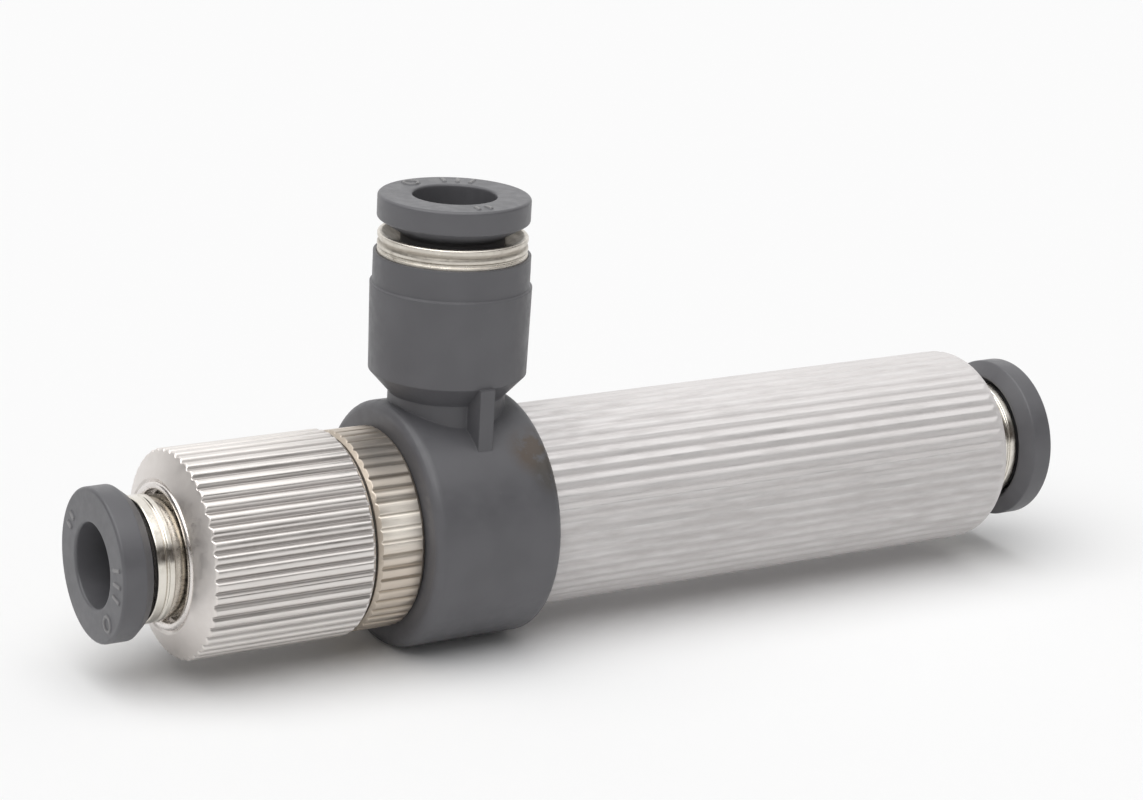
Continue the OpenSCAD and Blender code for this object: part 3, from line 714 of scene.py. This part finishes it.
nose = beaded_nose(section("front_housing", MAIN), LIP_BEAD, LIP_OVERHANG, LIP_GROOVE)
core = section("nozzle_core", MAIN, BETWEEN_HOLES)
RIBBED = (  # name, node, outline, radius inside which corners stay sharp, step, ribs
    ("front_shell", "front_housing", nose, 4.7 * MM, 0.07 * MM,
     dict(depth=0.27 * MM, flat=0.19, crowned=0.12, straight=0, uneven=0.12, seed=11)),
    ("rear_shell", "rear_housing", section("rear_housing", MAIN), 5.8 * MM, 0.09 * MM,
     dict(depth=0.15 * MM, flat=0.16, crowned=0.3, straight=0, uneven=0.2, seed=12)),
    ("knurled_core", "nozzle_core", core, 6.5 * MM, 0.07 * MM,
     dict(depth=0.14 * MM, flat=0.30, crowned=0.2, straight=0.5, uneven=0.28, seed=13)),
)
for name, node, outline, inner, step, rib_settings in RIBBED:
    stand_for(ribbed_piece(name, outline, RIBBED_EDGE, inner, step, **rib_settings), node)

PORTS = (  # name, axis, way out along it, angle of the ring's circle, depth of the collar's hollow band
    ("supply", MAIN, -1, math.radians(140), 0),
    ("vacuum", UPRIGHT, 1, math.radians(108), 0.09 * MM),
    ("exhaust", MAIN, 1, math.radians(20), 0),
)
for port, axis, out, mark_angle, hollow in PORTS:
    outline = rounded(section(port + "_release_ring", axis), RING_EDGE)
    face = (out * outline[:, 0]).max() * out
    fine = divided(outline, FACE_STEP, at_place(0, face))
    ring = turn(port + "_ring_moulded", axis, fine, MARKED_ROUND, raised_marks(face, out, mark_angle))
    stand_for(ring, port + "_release_ring")
    outline = section(port + "_collar", axis)
    crest = crest_at_mouth(outline, out)
    fine = divided(rounded(outline, COLLAR_EDGE), BAND_STEP, at_place(1, crest))
    collar = turn(port + "_collar_plated", axis, fine, ROUND, hollowed(outline, out, crest, hollow))
    stand_for(collar, port + "_collar")


# ---- Camera, light and stage ----

CAMERA_AT = (-85.00, -197.46, 79.04)  # millimetres
CAMERA_YAW = 32.180  # degrees from +Y towards +X
CAMERA_PITCH = 16.964  # degrees below the horizon
CAMERA_ROLL = 3.220
CAMERA_LENS = 100.69
CAMERA_SENSOR = 36.0


def make_camera():
    data = bpy.data.cameras.new("camera")
    data.lens = CAMERA_LENS
    data.sensor_width = CAMERA_SENSOR
    data.clip_start = 0.01
    data.clip_end = 10
    camera = bpy.data.objects.new("camera", data)
    camera.location = Vector(CAMERA_AT) * MM
    aim = Euler((math.radians(90 - CAMERA_PITCH), 0, math.radians(-CAMERA_YAW)), "XYZ").to_matrix()
    roll = Matrix.Rotation(math.radians(CAMERA_ROLL), 3, "Z")
    camera.rotation_mode = "QUATERNION"
    camera.rotation_quaternion = (aim @ roll).to_quaternion()
    scene.collection.objects.link(camera)
    scene.camera = camera


BACKDROP = (0.955, 0.955, 0.955)


def make_world(for_light, for_gloss):
    """A pale backdrop for the camera, a brighter one for the gloss and a softer sky for other light."""
    world = bpy.data.worlds.new("studio")
    scene.world = world
    world.use_nodes = True
    tree = world.node_tree
    path = tree.nodes.new("ShaderNodeLightPath")
    strength = None
    for ray, level in (("Is Camera Ray", 1), ("Is Transmission Ray", 1), ("Is Glossy Ray", for_gloss)):
        most = tree.nodes.new("ShaderNodeMapRange")
        most.inputs["To Min"].default_value = for_light
        most.inputs["To Max"].default_value = level
        tree.links.new(path.outputs[ray], most.inputs["Value"])
        if strength is None:
            strength = most.outputs["Result"]
            continue
        larger = tree.nodes.new("ShaderNodeMath")
        larger.operation = "MAXIMUM"
        tree.links.new(strength, larger.inputs[0])
        tree.links.new(most.outputs["Result"], larger.inputs[1])
        strength = larger.outputs[0]
    background = tree.nodes["Background"]
    background.inputs["Color"].default_value = (*BACKDROP, 1)
    tree.links.new(strength, background.inputs["Strength"])


def make_sun(comes_from, strength, spread, in_gloss):
    """A soft key light. comes_from points towards it, spread is its size in the sky in degrees."""
    data = bpy.data.lights.new("key", "SUN")
    data.energy = strength
    data.angle = math.radians(spread)
    data.specular_factor = in_gloss
    lamp = bpy.data.objects.new("key", data)
    lamp.rotation_mode = "QUATERNION"
    lamp.rotation_quaternion = Vector(comes_from).to_track_quat("Z", "Y")
    scene.collection.objects.link(lamp)


def stage_piece(name, verts, faces, colour, clear=None):
    """A matt backdrop piece. clear(finish) may give how see-through it is."""
    mesh = bpy.data.meshes.new(name)
    mesh.from_pydata(verts, [], faces)
    made = bpy.data.objects.new(name, mesh)
    scene.collection.objects.link(made)
    finish = Finish(name, Roughness=0.9, Base_Color=(*colour, 1), Specular_IOR_Level=0)
    if clear is not None:
        finish.link(clear(finish), "Alpha")
    mesh.materials.append(finish.material)
    return made


def make_floor(half):
    corners = [(x * half, y * half, FLOOR_Z) for x, y in ((-1, -1), (1, -1), (1, 1), (-1, 1))]
    stage_piece("floor", corners, [(0, 1, 2, 3)], BACKDROP)


WALL_CENTRE_X = 0.04
WALL_STEPS = 48


def make_dark_wall(radius, low, high, fade_low, fade_high, start, end, colour):
    """The unlit room behind the camera, which only the gloss sees. Angles are in degrees from +X."""
    verts, faces = [], []
    for i in range(WALL_STEPS + 1):
        angle = math.radians(start + (end - start) * i / WALL_STEPS)
        x, y = WALL_CENTRE_X + radius * math.cos(angle), radius * math.sin(angle)
        verts += [(x, y, low), (x, y, high)]
        if i:
            faces.append((2 * i - 2, 2 * i, 2 * i + 1, 2 * i - 1))

    def clear(finish):
        height = finish.add("ShaderNodeSeparateXYZ", {0: finish.mm}).outputs["Z"]
        return finish.calc("MULTIPLY", finish.span(height, (high - fade_high) / MM, high / MM, 1, 0),
                           finish.span(height, low / MM, (low + fade_low) / MM, 0, 1))

    wall = stage_piece("dark_wall", verts, faces, colour, clear)
    wall.visible_camera = False
    wall.visible_diffuse = False
    wall.visible_shadow = False


make_camera()
scene.view_settings.view_transform = "Standard"
make_world(for_light=0.34, for_gloss=1.12)
make_sun(comes_from=(-0.3, -0.17, 0.94), strength=2.3, spread=76, in_gloss=0.15)
make_floor(half=1.5)
make_dark_wall(radius=0.6, low=0.02, high=0.58, fade_low=0.10, fade_high=0.24, start=120, end=375,
               colour=(0.12, 0.107, 0.098))
